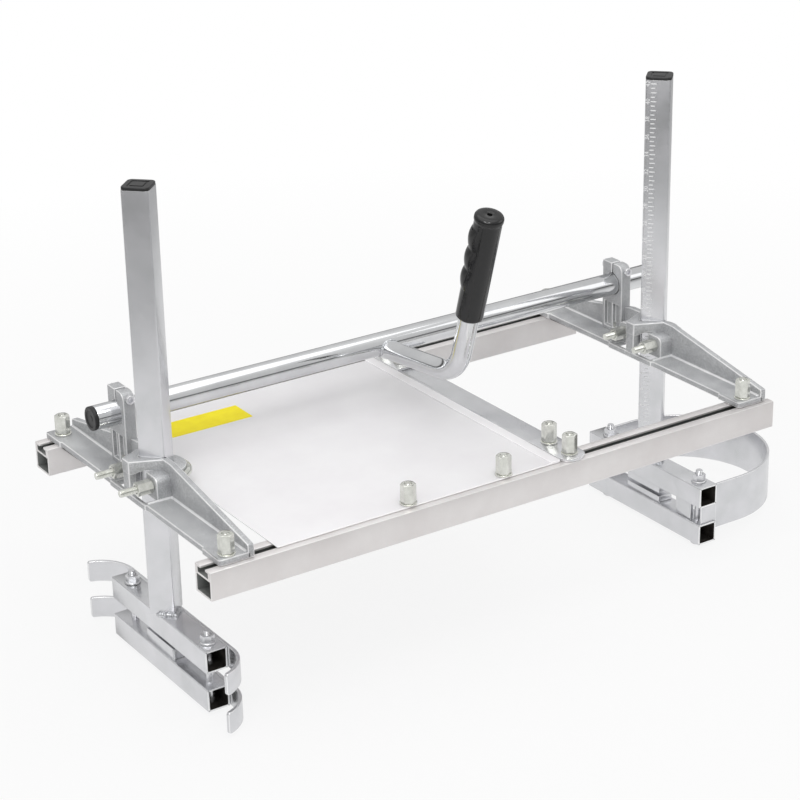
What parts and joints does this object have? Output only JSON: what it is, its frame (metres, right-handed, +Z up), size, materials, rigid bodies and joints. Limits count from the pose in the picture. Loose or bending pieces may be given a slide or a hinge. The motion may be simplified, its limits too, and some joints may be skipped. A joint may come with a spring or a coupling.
{
  "type": "chainsaw log cutting frame",
  "caption": "Chainsaw mill frame: slotted rails, end brackets with sliding square posts, guide bar clamps, nose guard, sheet guard, cross brace and tilting push handle.",
  "frame": {"origin": "on the floor, under the middle of the frame's overall box", "axes": "+X along the rails towards the nose guard, +Y from the front rail to the rear rail, +Z up"},
  "size_m": [0.8454, 0.38, 0.5349],
  "materials": {
    "rail_aluminium": "satin brushed extrusion",
    "cast_aluminium": "fine as-cast grey, slightly rough",
    "zinc_steel": "bright zinc plate, soft reflections",
    "zinc_fastener": "slightly yellow zinc plate",
    "chrome_tube": "polished plating",
    "guard_sheet": "smooth pale sheet with a plain yellow blank patch",
    "black_plastic": "moulded black",
    "grip_plastic": "soft black with a light sheen"
  },
  "bodies": {
    "frame": {"front_rail": "rail_aluminium", "rear_rail": "rail_aluminium", "left_bracket": "cast_aluminium", "left_u_bolt": "zinc_fastener", "left_saddle": "cast_aluminium", "left_u_bolt_front_nut": "zinc_fastener", "left_u_bolt_rear_nut": "zinc_fastener", "left_front_rail_nut": "zinc_fastener", "left_rear_rail_nut": "zinc_fastener", "guard_plate": "guard_sheet", "guard_left_nut": "zinc_fastener", "guard_right_nut": "zinc_fastener", "cross_brace": "zinc_steel", "brace_front_plate": "zinc_steel", "brace_rear_plate": "zinc_steel", "brace_front_rail_nut": "zinc_fastener", "brace_front_nut": "zinc_fastener", "brace_rear_nut": "zinc_fastener", "brace_rear_rail_nut": "zinc_fastener", "left_pipe_block": "cast_aluminium", "left_pinch_screw": "zinc_fastener", "left_foot_screw": "zinc_fastener"},
    "left_post": {"left_post": "zinc_steel", "left_post_cap": "black_plastic", "left_upper_bar": "zinc_steel", "left_upper_pad": "zinc_steel", "upper_skid_strap": "zinc_steel", "left_front_clamp_nut": "zinc_fastener", "left_rear_clamp_nut": "zinc_fastener"},
    "left_clamp": {"left_lower_bar": "zinc_steel", "left_lower_pad": "zinc_steel", "lower_skid_strap": "zinc_steel", "left_front_clamp_bolt": "zinc_fastener", "left_rear_clamp_bolt": "zinc_fastener"},
    "right_end": {"right_bracket": "cast_aluminium", "right_u_bolt": "zinc_fastener", "right_saddle": "cast_aluminium", "right_u_bolt_front_nut": "zinc_fastener", "right_u_bolt_rear_nut": "zinc_fastener", "right_front_rail_nut": "zinc_fastener", "right_rear_rail_nut": "zinc_fastener", "right_pipe_block": "cast_aluminium", "right_pinch_screw": "zinc_fastener", "right_foot_screw": "zinc_fastener"},
    "right_post": {"right_post": "zinc_steel", "right_post_cap": "black_plastic", "right_upper_bar": "zinc_steel", "right_upper_pad": "zinc_steel", "nose_guard": "zinc_steel", "right_front_clamp_nut": "zinc_fastener", "right_rear_clamp_nut": "zinc_fastener"},
    "right_clamp": {"right_lower_bar": "zinc_steel", "right_lower_pad": "zinc_steel", "right_front_clamp_bolt": "zinc_fastener", "right_rear_clamp_bolt": "zinc_fastener"},
    "handle": {"handle_pipe": "chrome_tube", "handle_branch": "chrome_tube", "handle_grip": "grip_plastic", "left_pipe_plug": "black_plastic", "right_pipe_plug": "black_plastic"}
  },
  "joints": [
    {"name": "left_post_slide", "type": "slide", "parent": "frame", "child": "left_post", "axis": [0, 0, 1], "range_m": [-0.25, 0.1]},
    {"name": "left_clamp_slide", "type": "slide", "parent": "left_post", "child": "left_clamp", "axis": [0, 0, 1], "range_m": [-0.006, 0]},
    {"name": "right_end_slide", "type": "slide", "parent": "frame", "child": "right_end", "axis": [1, 0, 0], "range_m": [-0.15, 0.008]},
    {"name": "right_post_slide", "type": "slide", "parent": "right_end", "child": "right_post", "axis": [0, 0, 1], "range_m": [-0.25, 0.1]},
    {"name": "right_clamp_slide", "type": "slide", "parent": "right_post", "child": "right_clamp", "axis": [0, 0, 1], "range_m": [-0.006, 0]},
    {"name": "handle_hinge", "type": "hinge", "parent": "frame", "child": "handle", "pos_m": [-0.05105, 0.068, 0.2748], "axis": [1, 0, 0], "range_deg": [-75, 15]}
  ]
}
